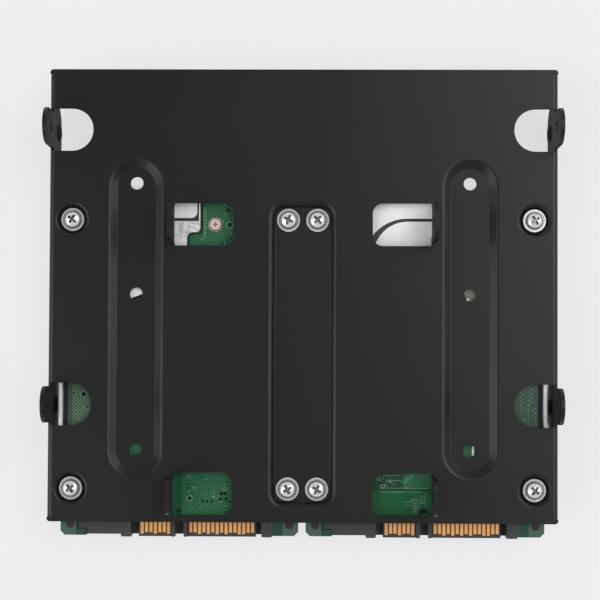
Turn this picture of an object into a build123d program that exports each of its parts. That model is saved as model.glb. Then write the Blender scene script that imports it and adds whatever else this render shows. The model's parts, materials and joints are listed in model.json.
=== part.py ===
from build123d import *
import math
import os

# A folded steel bracket that carries two 2.5-inch drives side by side in a 5.25-inch bay.
# The drives hang under the plate, with their circuit boards towards it.
# Millimetres. +Z is the plate's open face, +Y points away from the drives' connectors,
# and the origin is the middle of the model's footprint, at the feet of the four ears.

os.makedirs("parts", exist_ok=True)

SIDES = (-1, 1)
QUARTER_TURN = 90.0

# Drive mounting standard
DRIVE_WIDTH = 69.85
DRIVE_LENGTH = 100.35
DRIVE_HEIGHT = 9.5
DRIVE_HOLE_FROM_END = 14.0
DRIVE_HOLE_PITCH_Y = 76.6
DRIVE_HOLE_INSET = 4.065
DRIVE_GAP = 0.2

# Bracket sheet, with a short flange folded down along both sides
SHEET = 1.0
BEND_RADIUS = 0.5
PLATE_SIDE_MARGIN = 2.55
PLATE_ABOVE_HOLES = 43.0
PLATE_BELOW_HOLES = 9.4
PLATE_CORNER_RADIUS = 1.0
FLANGE_DROP = 6.0
FLANGE_END_GAP = 1.2
FLANGE_CORNER_RADIUS = 1.5
CLEARANCE_HOLE_RADIUS = 1.7

# Formed recesses: how far each kind's wall slopes inwards, and its rounding
FORM_DEPTH = 1.5
FORM_FLOOR_RADIUS = 0.3
OUTER_RIB_WIDTH = 15.2
OUTER_RIB_LENGTH = 90.5
OUTER_RIB_START = 3.2
OUTER_RIB_RUN = 2.1
CENTRE_RIB_WIDTH = 18.2
CENTRE_RIB_OVERHANG = 4.8
CENTRE_RIB_CORNER_RADIUS = 4.0
CENTRE_RIB_RUN = 1.2
RIB_RIM_RADIUS = 1.5
DIMPLE_RADIUS = 4.5
DIMPLE_RUN = 0.9
DIMPLE_RIM_RADIUS = 0.8

# Holes in the outer ribs. The ribs stand where they fit a 3.5-inch drive or bay, 95.25 mm apart
RIB_FROM_TAB = 11.025
WIDE_HOLE_FIRST_Y = 10.95
WIDE_HOLE_STEPS = (0.0, 44.45, 76.2)
WIDE_HOLE_RADIUS = 1.85

# Windows and the tabs folded out of them, which hold one more drive by its sides
WINDOW_WIDTH = 16.75
TAB_CLEARANCE = 1.675
WINDOW_HEIGHT = 12.2
WINDOW_LOWER_Y = -1.3
WINDOW_CORNER_RADIUS = 2.9
TAB_WIDTH = 10.5
TAB_RISE = 12.0
TAB_CORNER_RADIUS = 3.0
TAB_HOLE_HEIGHT = 8.0

# Side notches and ears, which carry the bay's screw holes
NOTCH_DEPTH = 12.5
NOTCH_WIDTH = 12.2
NOTCH_PITCH = 78.4
NOTCH_MIDDLE_Y = 63.1
EAR_LOBE_WIDTH = 10.2
EAR_RISE = 11.4
EAR_DROP = 13.0
EAR_TONGUE_WIDTH = 17.0
EAR_TONGUE_CORNER = 6.0
BAY_HOLE_PITCH_Y = 79.25
BAY_ROW_STEP = 11.84
BAY_NEAR_ROW_HEIGHT = 3.0
BAY_HOLE_RADIUS = 1.5
COLLAR_RADIUS = 2.3
COLLAR_HEIGHT = 0.5

# Drive screws
SCREW_RADIUS = 1.5
SCREW_ENGAGEMENT = 2.6
THREAD_CLEARANCE = 0.05
HEAD_FLANGE_RADIUS = 3.35
HEAD_FLANGE_HEIGHT = 0.55
HEAD_FLANGE_BEVEL = 0.2
HEAD_STEP_RADIUS = 2.85
HEAD_STEP = 0.15
HEAD_DOME_RADIUS = 2.45
HEAD_HEIGHT = 2.1
RECESS_ARM_LENGTH = 2.9
RECESS_ARM_WIDTH = 0.85
RECESS_DEPTH = 1.3
RECESS_TAPER = 10.0

# Drive casting
CASTING_END_Y = 5.05
CASTING_CORNER_RADIUS = 2.5
CASTING_WALL = 1.15
BAY_FLOOR_DEPTH = 1.9
BAY_TOP_Y = 97.0
HOLE_BOSS_RADIUS = 3.3
SIDE_HOLE_DEPTH = 2.0
SIDE_HOLE_DROP = 3.0
RIM_ROUNDING = 0.5

# Bare metal deck beside the board, with its groove. Widths are from the spindle's middle
DECK_SIDE_Y = 60.8
DECK_SPINDLE_Y = 74.1
DECK_EDGE_REACH = 5.475
DECK_STEP_REACH = 1.675
DECK_STEP_Y = 87.3
DECK_DROP = 0.3
DECK_CORNER_RADIUS = 1.5
GROOVE_Y = 90.9
GROOVE_BEND_BACK = 5.1
GROOVE_OUTER_RADIUS = 12.8
GROOVE_INNER_RADIUS = 9.8
GROOVE_WIDTH = 0.9
GROOVE_DEPTH = 1.0
SLOT_WIDTH = 0.5
SLOT_RIM = 0.35
SLOT_CORNER_RADIUS = 1.9

# Spindle motor, seated in the casting's underside
SPINDLE_Y = 65.2
SPINDLE_BOSS_RADIUS = 11.3
MOTOR_RADIUS = 9.6
MOTOR_THICKNESS = 1.0
MOTOR_HUB_RADIUS = 3.2
MOTOR_HUB_HEIGHT = 0.25
SEAT_CLEARANCE = 0.05

# Circuit board and its insulator
BOARD_THICKNESS = 1.0
BOARD_DROP = 0.6
BOARD_SIDE_INSET = 2.7
BOARD_GAP = 0.7
BOARD_TAB_INSET = 0.95
BOARD_TAB_TOP_Y = 4.6
BOARD_TAB_END_Y = 0.5
BOARD_TAB_CHAMFER = 1.2
INSULATOR_THICKNESS = 0.3
INSULATOR_GAP = 0.1
BOARD_SCREW_OFFSETS = ((9.85, 89.5), (26.5, 60.0), (-26.3, 46.0), (22.6, 27.5))
BOARD_SCREW_RADIUS = 0.8
BOARD_SCREW_HEAD_RADIUS = 1.55
BOARD_SCREW_HEAD_HEIGHT = 0.5
BOARD_SCREW_LENGTH = 3.0

# Connector
CONNECTOR_LEFT_X = 5.7
CONNECTOR_RIGHT_INSET = 8.45
CONNECTOR_LOW_X = 8.4
CONNECTOR_LOW_Y = 2.3
CONNECTOR_BACK_Y = 6.4
CONNECTOR_TOP_DROP = 1.0
CONNECTOR_HEIGHT = 4.6
CONNECTOR_SHELF_Y = 4.9
CONNECTOR_FLOOR_END_Y = 0.5
CONNECTOR_FLOOR_THICKNESS = 0.8
LEFT_BLOCK_CLEARANCE = 3.05
LEFT_BLOCK_TOE_WIDTH = 2.8
RIGHT_BLOCK_WIDTH = 3.0
TONGUE_DROP = 2.9
TONGUE_THICKNESS = 1.2
TONGUE_MARGIN = 0.95
TONGUE_NOSE = 0.3
KEY_WIDTH = 1.0
KEY_RISE = 1.2

# Contacts
CONTACT_PITCH = 1.27
CONTACT_WIDTH = 0.88
CONTACT_HEIGHT = 0.18
FIRST_SIGNAL_INSET = 45.8
SIGNAL_COUNT = 7
POWER_COUNT = 15
SIGNAL_TO_POWER = 6.35
LONG_CONTACT_END_Y = 0.7
SHORT_CONTACT_END_Y = 1.15
LONG_SIGNAL_CONTACTS = (0, 3, 6)
LONG_POWER_CONTACTS = (2, 4, 6, 8, 11, 12)

# Cover side of the drive
GASKET_THICKNESS = 0.3
GASKET_WIDTH = 1.6
COVER_INSET = 0.5
COVER_THICKNESS = 0.5
COVER_CORNER_RADIUS = 3.0
COVER_EMBOSS_HEIGHT = 0.2
COVER_EMBOSS_STANDOFF = 1.15
COVER_BEAD_RADII = (29.0, 10.0)
COVER_BEAD_WIDTH = 1.2
COVER_BEAD_DEPTH = 0.15
COVER_SCREW_INSET = 4.2
COVER_SCREW_RADIUS = 0.9
COVER_SCREW_HEAD_RADIUS = 1.9
COVER_SCREW_HEAD_HEIGHT = 0.45
COVER_SCREW_LENGTH = 3.6
STEP_ROUNDING = 0.1
SMALL_RECESS_SHARE = 0.25
SMALL_RECESS_DEPTH_SHARE = 0.7

# Places worked out from the driving dimensions
plate_reach_up = DRIVE_HOLE_PITCH_Y + PLATE_ABOVE_HOLES
lower_row_y = -(plate_reach_up - DRIVE_HOLE_FROM_END) / 2
upper_row_y = lower_row_y + DRIVE_HOLE_PITCH_Y
plate_length = plate_reach_up + PLATE_BELOW_HOLES
plate_bottom_y = lower_row_y - PLATE_BELOW_HOLES
plate_centre_y = plate_bottom_y + plate_length / 2
plate_top = EAR_DROP
plate_under = plate_top - SHEET
seat_top = plate_top - FORM_DEPTH
mounting_face = seat_top - SHEET
drive_outer_x = DRIVE_GAP / 2 + DRIVE_WIDTH
plate_width = 2 * (drive_outer_x + PLATE_SIDE_MARGIN)
flange_length = plate_length - 2 * FLANGE_END_GAP
inner_hole_x = DRIVE_GAP / 2 + DRIVE_HOLE_INSET
outer_hole_x = drive_outer_x - DRIVE_HOLE_INSET
drive_hole_rows = (lower_row_y, upper_row_y)
screw_places = [
    (side * x, y)
    for side in SIDES
    for x in (inner_hole_x, outer_hole_x)
    for y in drive_hole_rows
]
dimple_places = [(side * outer_hole_x, y) for side in SIDES for y in drive_hole_rows]
tab_face_x = DRIVE_WIDTH / 2 + TAB_CLEARANCE
window_inner_x = tab_face_x - WINDOW_WIDTH
outer_rib_x = tab_face_x + RIB_FROM_TAB
notch_reach_x = plate_width / 2 - NOTCH_DEPTH
outer_rib_centre_y = lower_row_y + OUTER_RIB_START + OUTER_RIB_LENGTH / 2
centre_rib_length = DRIVE_HOLE_PITCH_Y + 2 * CENTRE_RIB_OVERHANG
centre_rib_y = (lower_row_y + upper_row_y) / 2
window_rows = (lower_row_y + WINDOW_LOWER_Y, lower_row_y + WINDOW_LOWER_Y + DRIVE_HOLE_PITCH_Y)
notch_rows = [lower_row_y + NOTCH_MIDDLE_Y + end * NOTCH_PITCH / 2 for end in SIDES]
bay_hole_rows = [lower_row_y + NOTCH_MIDDLE_Y + end * BAY_HOLE_PITCH_Y / 2 for end in SIDES]
bay_hole_heights = (plate_top + BAY_NEAR_ROW_HEIGHT, plate_top + BAY_NEAR_ROW_HEIGHT - BAY_ROW_STEP)
bend_outer = BEND_RADIUS + SHEET


def outer_ribs(growth):
    """The two long ribs' outlines, widened by growth for the underside of the sheet."""
    with Locations(*[(side * outer_rib_x, outer_rib_centre_y) for side in SIDES]):
        SlotOverall(OUTER_RIB_LENGTH + 2 * growth, OUTER_RIB_WIDTH + 2 * growth, rotation=90)


def centre_rib(growth):
    """The middle rib's outline, round the four inner screws."""
    with Locations((0, centre_rib_y)):
        RectangleRounded(
            CENTRE_RIB_WIDTH + 2 * growth,
            centre_rib_length + 2 * growth,
            CENTRE_RIB_CORNER_RADIUS + growth,
        )


def dimples(growth):
    """Round seats for the four outer screws."""
    with Locations(*dimple_places):
        Circle(DIMPLE_RADIUS + growth)


def bend_section(x, z, towards_x, towards_z):
    """A quarter of the bend's ring, centred on x and z, on the side that the two signs name."""
    with Locations((x, z)):
        Circle(bend_outer)
        Circle(BEND_RADIUS, mode=Mode.SUBTRACT)
        Rectangle(
            bend_outer,
            bend_outer,
            align=(
                Align.MIN if towards_x > 0 else Align.MAX,
                Align.MIN if towards_z > 0 else Align.MAX,
            ),
            mode=Mode.INTERSECT,
        )


# Bracket plate: one folded sheet with formed ribs, windows, tabs and ears
flange_bend_x = plate_width / 2 - bend_outer
flange_top = plate_under - BEND_RADIUS
flange_bottom = plate_top - FLANGE_DROP
tab_bend_x = tab_face_x + bend_outer
forms = (
    (outer_ribs, OUTER_RIB_RUN, RIB_RIM_RADIUS),
    (centre_rib, CENTRE_RIB_RUN, RIB_RIM_RADIUS),
    (dimples, DIMPLE_RUN, DIMPLE_RIM_RADIUS),
)

with BuildPart() as bracket_plate:
    with BuildSketch(Plane.XY.offset(plate_under)):
        with Locations((0, plate_centre_y)):
            RectangleRounded(plate_width, plate_length, PLATE_CORNER_RADIUS)
    extrude(amount=SHEET)

    # Recesses pressed down: the sheet bulges out below, and is hollowed from above
    for draw_form, run, rim_radius in forms:
        taper = math.degrees(math.atan2(run, FORM_DEPTH))
        growth = SHEET * math.tan(math.atan2(FORM_DEPTH, run) / 2)
        with BuildSketch(Plane.XY.offset(plate_under)):
            draw_form(growth)
        extrude(amount=-FORM_DEPTH, taper=taper)
        with BuildSketch(Plane.XY.offset(plate_top)):
            draw_form(0)
        extrude(amount=-FORM_DEPTH, taper=taper, mode=Mode.SUBTRACT)
        formed_edges = bracket_plate.edges(Select.LAST).group_by(Axis.Z)
        fillet(formed_edges[-1], rim_radius)
    fillet(bracket_plate.edges().filter_by_position(Axis.Z, seat_top, seat_top), FORM_FLOOR_RADIUS)

    with Locations(*screw_places):
        Hole(CLEARANCE_HOLE_RADIUS)
    with Locations(
        *[
            (side * outer_rib_x, lower_row_y + WIDE_HOLE_FIRST_Y + step)
            for side in SIDES
            for step in WIDE_HOLE_STEPS
        ]
    ):
        Hole(WIDE_HOLE_RADIUS)

    # Windows, cut past the fold line where the tab leaves the sheet
    for side in SIDES:
        for y in window_rows:
            with BuildSketch(Plane.XY.offset(plate_top)) as window:
                with Locations((side * (window_inner_x + tab_face_x) / 2, y)):
                    Rectangle(WINDOW_WIDTH, WINDOW_HEIGHT)
                fillet(window.vertices().sort_by_distance((0, y))[:2], WINDOW_CORNER_RADIUS)
                with Locations((side * (tab_face_x + tab_bend_x) / 2, y)):
                    Rectangle(bend_outer, TAB_WIDTH)
            extrude(amount=-SHEET, mode=Mode.SUBTRACT)

    # Tabs folded up from the windows
    for side in SIDES:
        tab_plane_x = min(side * tab_face_x, side * (tab_face_x + SHEET))
        for y in window_rows:
            with BuildSketch(Plane.XZ.offset(-y)):
                bend_section(side * tab_bend_x, plate_top + BEND_RADIUS, -side, -1)
            extrude(amount=TAB_WIDTH / 2, both=True)
            with BuildSketch(Plane.YZ.offset(tab_plane_x)) as tab:
                with Locations((y, plate_top + BEND_RADIUS)):
                    Rectangle(TAB_WIDTH, TAB_RISE - BEND_RADIUS, align=(Align.CENTER, Align.MIN))
                fillet(tab.vertices().group_by(Axis.Y)[-1], TAB_CORNER_RADIUS)
                with Locations((y, plate_top + TAB_HOLE_HEIGHT)):
                    Circle(CLEARANCE_HOLE_RADIUS, mode=Mode.SUBTRACT)
            extrude(amount=SHEET)

    # Side edges: cut back and folded down into a short flange
    for side in SIDES:
        flange_plane_x = min(side * plate_width / 2, side * (plate_width / 2 - SHEET))
        with BuildSketch(Plane.XY.offset(plate_top)):
            with Locations((side * (plate_width - bend_outer) / 2, plate_centre_y)):
                Rectangle(bend_outer, flange_length)
        extrude(amount=-SHEET, mode=Mode.SUBTRACT)
        with BuildSketch(Plane.XZ.offset(-plate_centre_y)):
            bend_section(side * flange_bend_x, flange_top, side, 1)
        extrude(amount=flange_length / 2, both=True)
        with BuildSketch(Plane.YZ.offset(flange_plane_x)) as flange:
            with Locations((plate_centre_y, flange_bottom)):
                Rectangle(flange_length, flange_top - flange_bottom, align=(Align.CENTER, Align.MIN))
            fillet(flange.vertices().group_by(Axis.Y)[0], FLANGE_CORNER_RADIUS)
        extrude(amount=SHEET)

    # Notches in the side edges, cut through the sheet and its bend
    for side in SIDES:
        for y in notch_rows:
            with BuildSketch(Plane.XY.offset(plate_top)):
                with Locations((side * (notch_reach_x + NOTCH_WIDTH / 2), y)):
                    Circle(NOTCH_WIDTH / 2)
                notch_open = NOTCH_DEPTH - NOTCH_WIDTH / 2
                with Locations((side * (plate_width - notch_open) / 2, y)):
                    Rectangle(notch_open, NOTCH_WIDTH)
            extrude(amount=flange_top - plate_top, mode=Mode.SUBTRACT)

    # Ears: the flange's sheet reaches down in a tongue and stands up out of the notch in a lobe
    for side in SIDES:
        flange_plane_x = min(side * plate_width / 2, side * (plate_width / 2 - SHEET))
        inner_face_x = side * (plate_width / 2 - SHEET)
        for y, hole_y in zip(notch_rows, bay_hole_rows):
            with BuildSketch(Plane.YZ.offset(flange_plane_x)) as ear:
                with Locations((y, 0)):
                    Rectangle(EAR_TONGUE_WIDTH, flange_top, align=(Align.CENTER, Align.MIN))
                fillet(ear.vertices().group_by(Axis.Y)[0], EAR_TONGUE_CORNER)
                lobe_top = plate_top + EAR_RISE
                with Locations((y, flange_top)):
                    Rectangle(
                        EAR_LOBE_WIDTH,
                        lobe_top - EAR_LOBE_WIDTH / 2 - flange_top,
                        align=(Align.CENTER, Align.MIN),
                    )
                with Locations((y, lobe_top - EAR_LOBE_WIDTH / 2)):
                    Circle(EAR_LOBE_WIDTH / 2)
                with Locations(*[(hole_y, z) for z in bay_hole_heights]):
                    Circle(BAY_HOLE_RADIUS, mode=Mode.SUBTRACT)
            extrude(amount=SHEET)
            with BuildSketch(Plane.YZ.offset(inner_face_x)):
                with Locations((hole_y, bay_hole_heights[1])):
                    Circle(COLLAR_RADIUS)
                    Circle(BAY_HOLE_RADIUS, mode=Mode.SUBTRACT)
            extrude(amount=-side * COLLAR_HEIGHT)

bracket_plate.part.label = "bracket_plate"
export_step(bracket_plate.part, "parts/bracket_plate.step")


# Pan-head screw with a washer face and a cross recess, standing on its seat at the origin
with BuildPart() as drive_screw:
    with BuildSketch(Plane.XZ):
        with BuildLine():
            Polyline(
                (0, HEAD_HEIGHT),
                (0, -SHEET - SCREW_ENGAGEMENT),
                (SCREW_RADIUS, -SHEET - SCREW_ENGAGEMENT),
                (SCREW_RADIUS, 0),
                (HEAD_FLANGE_RADIUS, 0),
                (HEAD_FLANGE_RADIUS, HEAD_FLANGE_HEIGHT - HEAD_FLANGE_BEVEL),
                (HEAD_FLANGE_RADIUS - HEAD_FLANGE_BEVEL, HEAD_FLANGE_HEIGHT),
                (HEAD_STEP_RADIUS, HEAD_FLANGE_HEIGHT),
                (HEAD_STEP_RADIUS, HEAD_FLANGE_HEIGHT - HEAD_STEP),
                (HEAD_DOME_RADIUS, HEAD_FLANGE_HEIGHT - HEAD_STEP),
            )
            EllipticalCenterArc(
                (0, HEAD_FLANGE_HEIGHT - HEAD_STEP),
                HEAD_DOME_RADIUS,
                HEAD_HEIGHT - HEAD_FLANGE_HEIGHT + HEAD_STEP,
                start_angle=0,
                arc_size=QUARTER_TURN,
            )
        make_face()
    revolve(axis=Axis.Z)
    with BuildSketch(Plane.XY.offset(HEAD_HEIGHT)):
        Rectangle(RECESS_ARM_LENGTH, RECESS_ARM_WIDTH)
        Rectangle(RECESS_ARM_WIDTH, RECESS_ARM_LENGTH)
    extrude(amount=-RECESS_DEPTH, taper=RECESS_TAPER, mode=Mode.SUBTRACT)

SCREW_TURNS = {"left": (38, 55, 27, 66), "right": (52, 31, 60, 44)}

for side, name in zip(SIDES, ("left", "right")):
    places = [(side * x, y) for x in (outer_hole_x, inner_hole_x) for y in drive_hole_rows]
    with BuildPart() as drive_screws:
        for (x, y), turn in zip(places, SCREW_TURNS[name]):
            with Locations(Location((x, y, seat_top), (0, 0, turn))):
                add(drive_screw.part)
    drive_screws.part.label = f"{name}_drive_screws"
    export_step(drive_screws.part, f"parts/{name}_drive_screws.step")


# Drive pieces are made in the drive's own frame: x from its left side, y from its connector end,
# z from its mounting face, with the drive's inside below zero. Each is then set under the plate twice.
connector_end_y = lower_row_y - DRIVE_HOLE_FROM_END
drive_lefts = {"left": -DRIVE_GAP / 2 - DRIVE_WIDTH, "right": DRIVE_GAP / 2}
boss_places = [
    (x, y)
    for x in (DRIVE_HOLE_INSET, DRIVE_WIDTH - DRIVE_HOLE_INSET)
    for y in (DRIVE_HOLE_FROM_END, DRIVE_HOLE_FROM_END + DRIVE_HOLE_PITCH_Y)
]
spindle_x = DRIVE_WIDTH / 2
deck_edge_x = spindle_x + DECK_EDGE_REACH
deck_step_x = spindle_x + DECK_STEP_REACH
board_screw_places = [(spindle_x + reach, y) for reach, y in BOARD_SCREW_OFFSETS]
connector_right_x = DRIVE_WIDTH - CONNECTOR_RIGHT_INSET
corner = (Align.MIN, Align.MIN)
casting_length = DRIVE_LENGTH - CASTING_END_Y
casting_middle_y = CASTING_END_Y + casting_length / 2
cover_screw_places = [
    (x, y)
    for x in (COVER_SCREW_INSET, DRIVE_WIDTH - COVER_SCREW_INSET)
    for y in (CASTING_END_Y + COVER_SCREW_INSET, casting_middle_y, DRIVE_LENGTH - COVER_SCREW_INSET)
]
casting_middle = (DRIVE_WIDTH / 2, CASTING_END_Y + casting_length / 2)
casting_bottom = -(DRIVE_HEIGHT - COVER_EMBOSS_HEIGHT - COVER_THICKNESS - GASKET_THICKNESS)
gasket_bottom = casting_bottom - GASKET_THICKNESS
cover_bottom = gasket_bottom - COVER_THICKNESS
board_top = -BOARD_DROP
board_bottom = board_top - BOARD_THICKNESS
insulator_bottom = board_bottom - INSULATOR_THICKNESS


def export_pair(piece, name):
    """Sets one piece into both drives and writes it under the drive's side and its own name."""
    for side_name, left_x in drive_lefts.items():
        with BuildPart() as placed:
            with Locations((left_x, connector_end_y, mounting_face)):
                add(piece)
        placed.part.label = f"{side_name}_{name}"
        export_step(placed.part, f"parts/{side_name}_{name}.step")


def deck_shape(gap):
    """The bare deck's outline, grown by gap: a slanted lower edge and a rounded step at the board."""
    with BuildSketch(mode=Mode.PRIVATE) as deck:
        with BuildLine():
            Polyline(
                (0, DECK_SIDE_Y - gap),
                (deck_step_x + gap, DECK_SPINDLE_Y - gap),
                (deck_step_x + gap, DECK_STEP_Y - gap),
                (deck_edge_x + gap, DECK_STEP_Y - gap),
                (deck_edge_x + gap, DRIVE_LENGTH),
                (0, DRIVE_LENGTH),
                close=True,
            )
        make_face()
        step_corners = deck.vertices().sort_by_distance((deck_step_x, DECK_STEP_Y))
        edge_corners = deck.vertices().sort_by_distance((deck_edge_x, DECK_STEP_Y))
        fillet([step_corners[0], edge_corners[0]], DECK_CORNER_RADIUS)
    return deck.sketch


def bay_outline(side_inset, gap, low_y):
    """The electronics bay beside the bare deck, drawn smaller by gap, from low_y upwards."""
    with Locations((side_inset, low_y)):
        Rectangle(DRIVE_WIDTH - 2 * side_inset, BAY_TOP_Y - gap - low_y, align=corner)
    add(deck_shape(gap), mode=Mode.SUBTRACT)
    with Locations((spindle_x, SPINDLE_Y)):
        Circle(SPINDLE_BOSS_RADIUS + gap, mode=Mode.SUBTRACT)
    for x, y in boss_places:
        edge_x = 0 if x < DRIVE_WIDTH / 2 else DRIVE_WIDTH
        with Locations((x, y)):
            Circle(HOLE_BOSS_RADIUS + gap, mode=Mode.SUBTRACT)
        with Locations(((x + edge_x) / 2, y)):
            Rectangle(abs(x - edge_x), 2 * (HOLE_BOSS_RADIUS + gap), mode=Mode.SUBTRACT)


# Base casting: the drive's body, with the electronics bay, the bare deck and its groove
with BuildPart() as base_casting:
    with BuildSketch(Plane.XY.offset(casting_bottom)):
        with Locations(casting_middle):
            RectangleRounded(DRIVE_WIDTH, casting_length, CASTING_CORNER_RADIUS)
    extrude(amount=-casting_bottom)
    fillet(base_casting.faces().sort_by(Axis.Z)[-1].edges(), RIM_ROUNDING)
    with BuildSketch(Plane.XY):
        bay_outline(CASTING_WALL, 0, CASTING_END_Y)
    extrude(amount=-BAY_FLOOR_DEPTH, mode=Mode.SUBTRACT)

    # Deck, lowered from the mounting face but not at the bosses and the end walls
    with BuildSketch(Plane.XY):
        with Locations((CASTING_WALL, SPINDLE_Y - SPINDLE_BOSS_RADIUS)):
            Rectangle(
                deck_edge_x - CASTING_WALL,
                BAY_TOP_Y - SPINDLE_Y + SPINDLE_BOSS_RADIUS,
                align=corner,
            )
        with Locations(*boss_places):
            Circle(HOLE_BOSS_RADIUS, mode=Mode.SUBTRACT)
    extrude(amount=-DECK_DROP, mode=Mode.SUBTRACT)

    # Groove: a slot beside a thin rim, a rounded corner, straight along the deck, then a wide bend
    slot_x = deck_edge_x - SLOT_RIM - SLOT_WIDTH
    with BuildSketch(Plane.XY.offset(-DECK_DROP)):
        with BuildLine():
            edge_ends = []
            for end, radius in zip(SIDES, (GROOVE_INNER_RADIUS, GROOVE_OUTER_RADIUS)):
                edge_y = GROOVE_Y + end * GROOVE_WIDTH / 2
                edge = Line((slot_x, edge_y), (spindle_x - GROOVE_BEND_BACK, edge_y))
                bend = JernArc(start=edge @ 1, tangent=edge % 1, radius=radius, arc_size=QUARTER_TURN)
                edge_ends.append((edge @ 0, bend @ 1))
            for first, second in zip(*edge_ends):
                Line(first, second)
        make_face()
        with Locations((slot_x - SLOT_CORNER_RADIUS, GROOVE_Y + GROOVE_WIDTH / 2)):
            Rectangle(SLOT_CORNER_RADIUS, SLOT_CORNER_RADIUS, align=corner)
        with Locations((slot_x - SLOT_CORNER_RADIUS, GROOVE_Y + GROOVE_WIDTH / 2 + SLOT_CORNER_RADIUS)):
            Circle(SLOT_CORNER_RADIUS, mode=Mode.SUBTRACT)
        with Locations((slot_x, GROOVE_Y - GROOVE_WIDTH / 2)):
            Rectangle(SLOT_WIDTH, BAY_TOP_Y - GROOVE_Y, align=corner)
    extrude(amount=-GROOVE_DEPTH, mode=Mode.SUBTRACT)

    # Motor seat, mounting holes and side holes
    with Locations((spindle_x, SPINDLE_Y, 0)):
        Hole(MOTOR_RADIUS + SEAT_CLEARANCE, depth=DECK_DROP + MOTOR_THICKNESS)
    with Locations(*boss_places):
        Hole(SCREW_RADIUS + THREAD_CLEARANCE, depth=SCREW_ENGAGEMENT + THREAD_CLEARANCE)

    # Pocket for the back of the connector, and the small screws' holes
    with BuildSketch(Plane.XY):
        with Locations((CONNECTOR_LEFT_X, CASTING_END_Y)):
            Rectangle(
                connector_right_x - CONNECTOR_LEFT_X,
                CONNECTOR_BACK_Y - CASTING_END_Y,
                align=corner,
            )
    extrude(amount=-CONNECTOR_TOP_DROP - CONNECTOR_HEIGHT - SEAT_CLEARANCE, mode=Mode.SUBTRACT)
    with Locations(*[(x, y, -BAY_FLOOR_DEPTH) for x, y in board_screw_places]):
        Hole(BOARD_SCREW_RADIUS + THREAD_CLEARANCE, depth=BOARD_SCREW_LENGTH)
    with Locations(*[Location((x, y, casting_bottom), (180, 0, 0)) for x, y in cover_screw_places]):
        Hole(COVER_SCREW_RADIUS + THREAD_CLEARANCE, depth=COVER_SCREW_LENGTH)
    for side in SIDES:
        face_x = DRIVE_WIDTH / 2 + side * DRIVE_WIDTH / 2
        with BuildSketch(Plane.YZ.offset(face_x)):
            with Locations(*[(y, -SIDE_HOLE_DROP) for y in {place[1] for place in boss_places}]):
                Circle(SCREW_RADIUS)
        extrude(amount=-side * SIDE_HOLE_DEPTH, mode=Mode.SUBTRACT)

export_pair(base_casting.part, "base_casting")


# Spindle motor: a steel disc pressed into the casting, with its hub standing proud
with BuildPart() as spindle_motor:
    with Locations((spindle_x, SPINDLE_Y, -DECK_DROP - MOTOR_THICKNESS)):
        Cylinder(MOTOR_RADIUS, MOTOR_THICKNESS, align=(Align.CENTER, Align.CENTER, Align.MIN))
    chamfer(spindle_motor.edges().group_by(Axis.Z)[-1], STEP_ROUNDING)
    with Locations((spindle_x, SPINDLE_Y, -DECK_DROP)):
        Cylinder(MOTOR_HUB_RADIUS, MOTOR_HUB_HEIGHT, align=(Align.CENTER, Align.CENTER, Align.MIN))
export_pair(spindle_motor.part, "spindle_motor")


def screw_holes(radius):
    """Round holes through the sketch at every board screw."""
    with Locations(*board_screw_places):
        Circle(radius, mode=Mode.SUBTRACT)


# Insulator: a thin black sheet on the bay's floor, which shows as a dark margin round the board
with BuildPart() as board_insulator:
    with BuildSketch(Plane.XY.offset(insulator_bottom)):
        bay_outline(CASTING_WALL + INSULATOR_GAP, INSULATOR_GAP, CONNECTOR_BACK_Y + INSULATOR_GAP)
        screw_holes(BOARD_SCREW_RADIUS + THREAD_CLEARANCE)
    extrude(amount=INSULATOR_THICKNESS)
export_pair(board_insulator.part, "board_insulator")


# Circuit board: two tabs reach to the connector's end, on either side of its cut-out
with BuildPart() as circuit_board:
    with BuildSketch(Plane.XY.offset(board_bottom)):
        bay_outline(BOARD_SIDE_INSET, BOARD_GAP, BOARD_TAB_END_Y)
        with BuildSketch(mode=Mode.ADD) as board_tabs:
            with Locations((BOARD_TAB_INSET, BOARD_TAB_END_Y)):
                Rectangle(
                    DRIVE_WIDTH - 2 * BOARD_TAB_INSET,
                    BOARD_TAB_TOP_Y - BOARD_TAB_END_Y,
                    align=corner,
                )
            chamfer(board_tabs.vertices().group_by(Axis.Y)[0], BOARD_TAB_CHAMFER)
        with Locations((CONNECTOR_LEFT_X, CONNECTOR_LOW_Y)):
            Rectangle(
                connector_right_x - CONNECTOR_LEFT_X,
                CONNECTOR_BACK_Y - CONNECTOR_LOW_Y,
                align=corner,
                mode=Mode.SUBTRACT,
            )
        with Locations((CONNECTOR_LOW_X, 0)):
            Rectangle(
                connector_right_x - CONNECTOR_LOW_X,
                CONNECTOR_BACK_Y,
                align=corner,
                mode=Mode.SUBTRACT,
            )
        screw_holes(BOARD_SCREW_RADIUS + THREAD_CLEARANCE)
    extrude(amount=BOARD_THICKNESS)
export_pair(circuit_board.part, "circuit_board")


def small_screw(shank_radius, shank_length, head_radius, head_height):
    """A flat-topped screw with a cross recess, standing on its seat at the origin."""
    with BuildPart() as screw:
        Cylinder(head_radius, head_height, align=(Align.CENTER, Align.CENTER, Align.MIN))
        chamfer(screw.edges().group_by(Axis.Z)[-1], STEP_ROUNDING)
        with BuildSketch(Plane.XY.offset(head_height)):
            Rectangle(head_radius, head_radius * SMALL_RECESS_SHARE)
            Rectangle(head_radius * SMALL_RECESS_SHARE, head_radius)
        extrude(amount=-head_height * SMALL_RECESS_DEPTH_SHARE, mode=Mode.SUBTRACT)
        Cylinder(shank_radius, shank_length, align=(Align.CENTER, Align.CENTER, Align.MAX))
    return screw.part


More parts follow.
